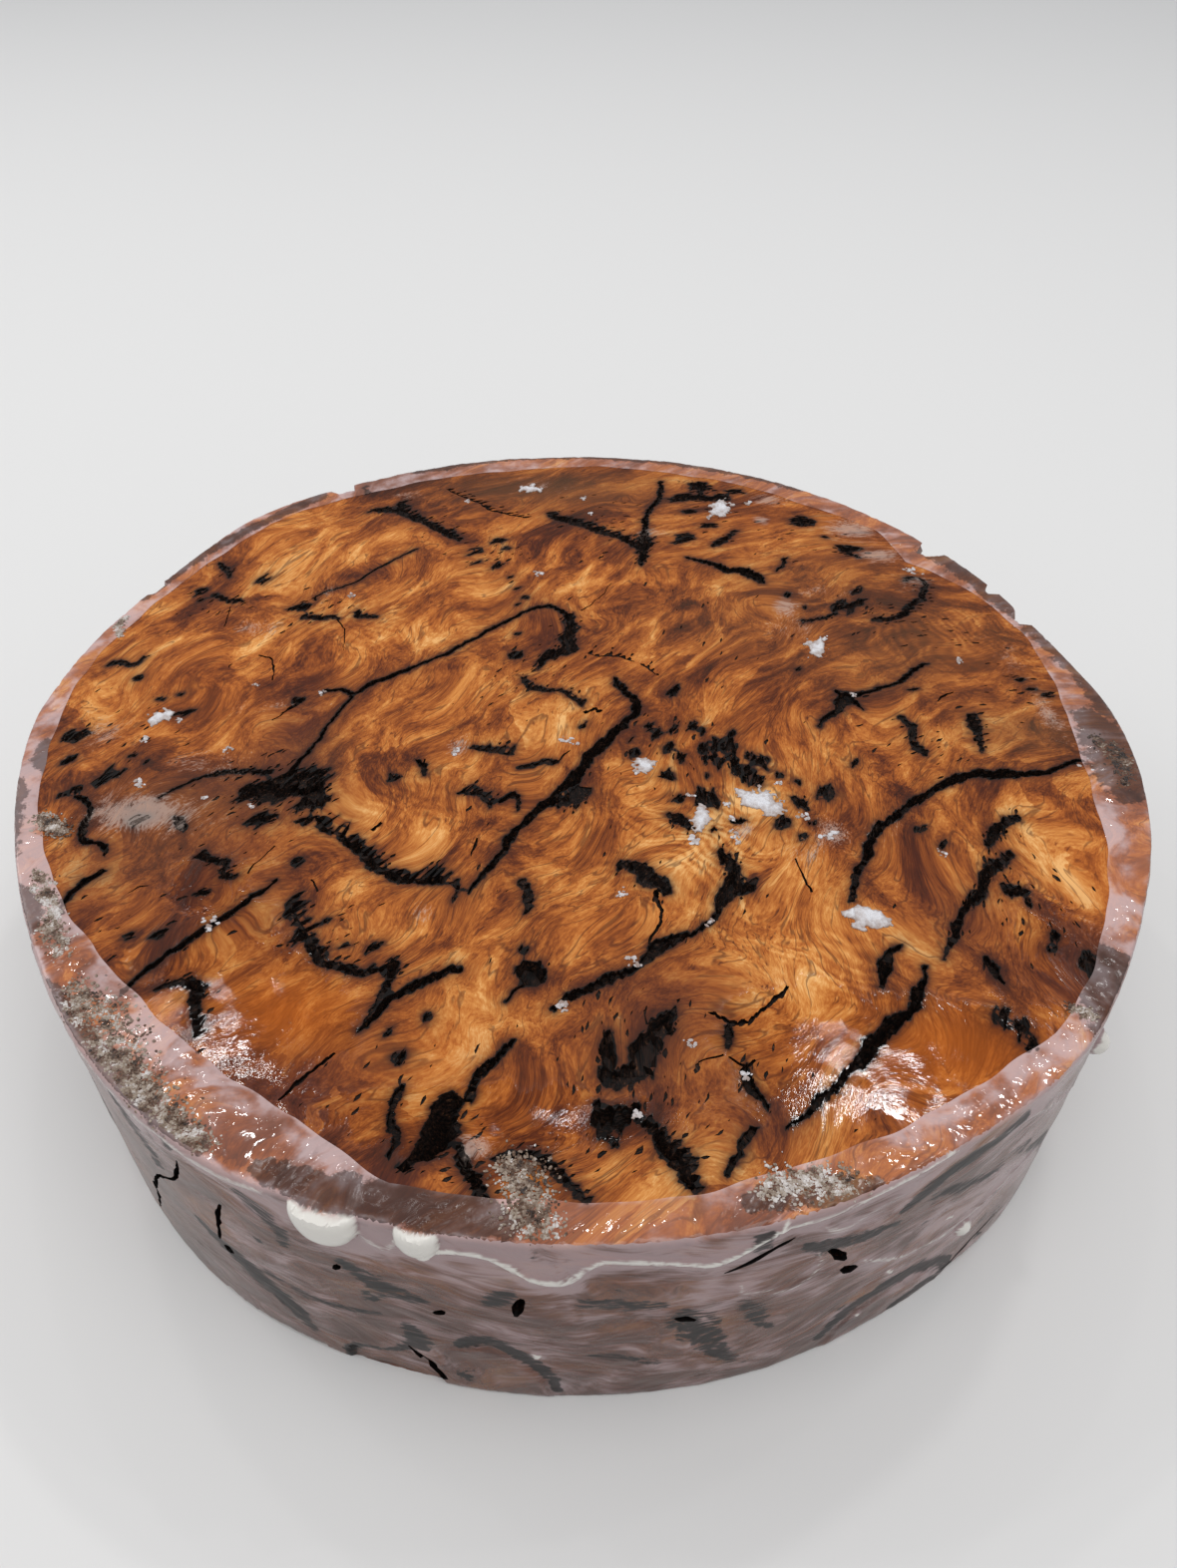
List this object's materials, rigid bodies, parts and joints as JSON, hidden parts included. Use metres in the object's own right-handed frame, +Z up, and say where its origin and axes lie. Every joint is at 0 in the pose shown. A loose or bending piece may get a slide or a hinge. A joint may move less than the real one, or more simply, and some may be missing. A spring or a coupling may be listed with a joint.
{
  "type": "burl bowl blank",
  "caption": "Round flat slab of burl wood for turning a bowl, with bark-lined splits in its face and a sealing wax coat round its side and rims.",
  "frame": {"origin": "middle of the underside, on the plane that the wax under the rim rests on", "axes": "+Z up through the thickness, +Y away from the front, +X to the right"},
  "size_m": [0.2551, 0.255, 0.0648],
  "materials": {
    "burl_wood": "oiled look, sawn, figured burl with black bark",
    "sealing_wax": "clear to milky wax, wet gloss",
    "wax_flakes": "white crumbly wax"
  },
  "bodies": {
    "root": {"burl_blank": "burl_wood", "wax_seal": "sealing_wax", "wax_flake_1": "wax_flakes", "wax_flake_2": "wax_flakes", "wax_flake_3": "wax_flakes", "wax_flake_4": "wax_flakes", "wax_flake_5": "wax_flakes", "wax_flake_6": "wax_flakes", "wax_flake_7": "wax_flakes", "wax_flake_8": "wax_flakes"}
  },
  "joints": []
}
